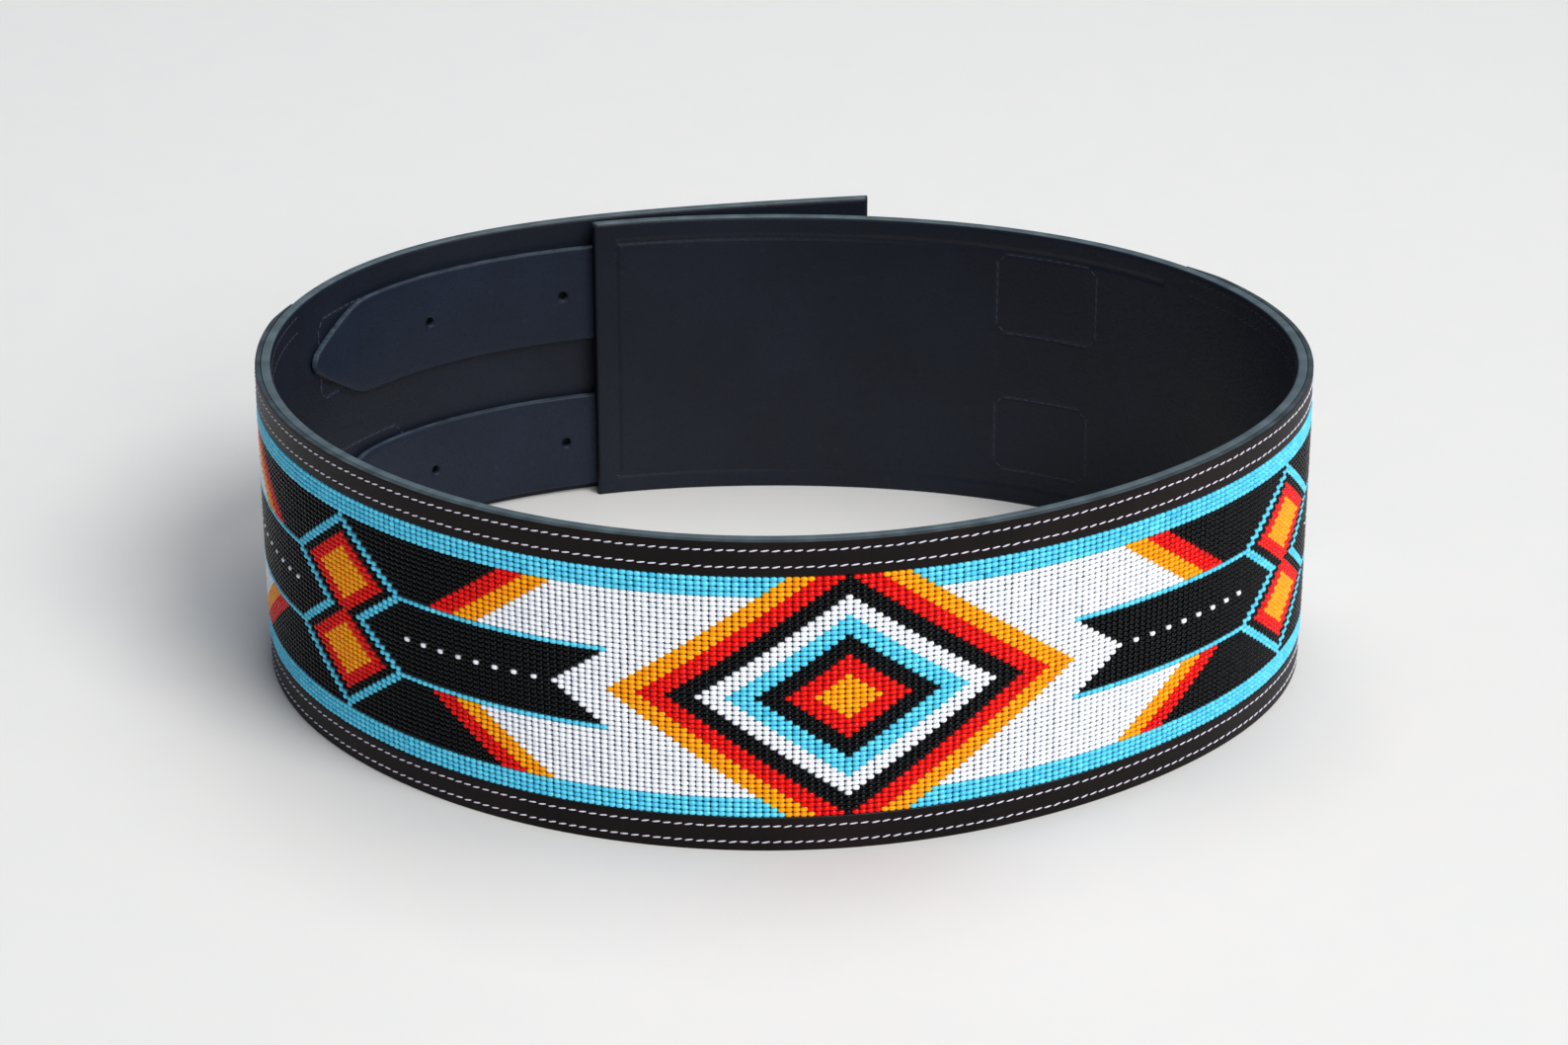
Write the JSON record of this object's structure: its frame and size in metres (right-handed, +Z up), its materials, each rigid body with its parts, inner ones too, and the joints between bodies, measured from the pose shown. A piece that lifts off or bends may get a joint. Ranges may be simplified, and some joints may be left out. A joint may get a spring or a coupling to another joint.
{
  "type": "beaded leather belt",
  "caption": "Wide leather belt with a loomed seed-bead panel between stitched edgings, two tucked straps and two buckles, standing in a loop.",
  "frame": {"origin": "under the middle of the whole belt, on the surface that it stands on", "axes": "+Z up across the belt's height, -Y towards the front centre of the beadwork, +X to the right seen from the front"},
  "size_m": [0.3314, 0.278, 0.1],
  "materials": {
    "black_leather": "smooth black leather with a fine grain and grey-blue burnished rims",
    "edging_leather": "dark brown-black smooth leather",
    "strap_leather": "smooth black leather, slightly lighter than the belt",
    "buckle_steel": "plain brushed steel",
    "glass_beads": "opaque glass seed beads in light blue, white, black, red and yellow-orange"
  },
  "bodies": {
    "root": {"belt_body": "black_leather", "edging_top": "edging_leather", "edging_bottom": "edging_leather", "bead_panel": "glass_beads", "strap_upper": "strap_leather", "strap_lower": "strap_leather", "buckle_tab_upper": "black_leather", "buckle_tab_lower": "black_leather", "buckle_upper": "buckle_steel", "buckle_lower": "buckle_steel"}
  },
  "joints": []
}
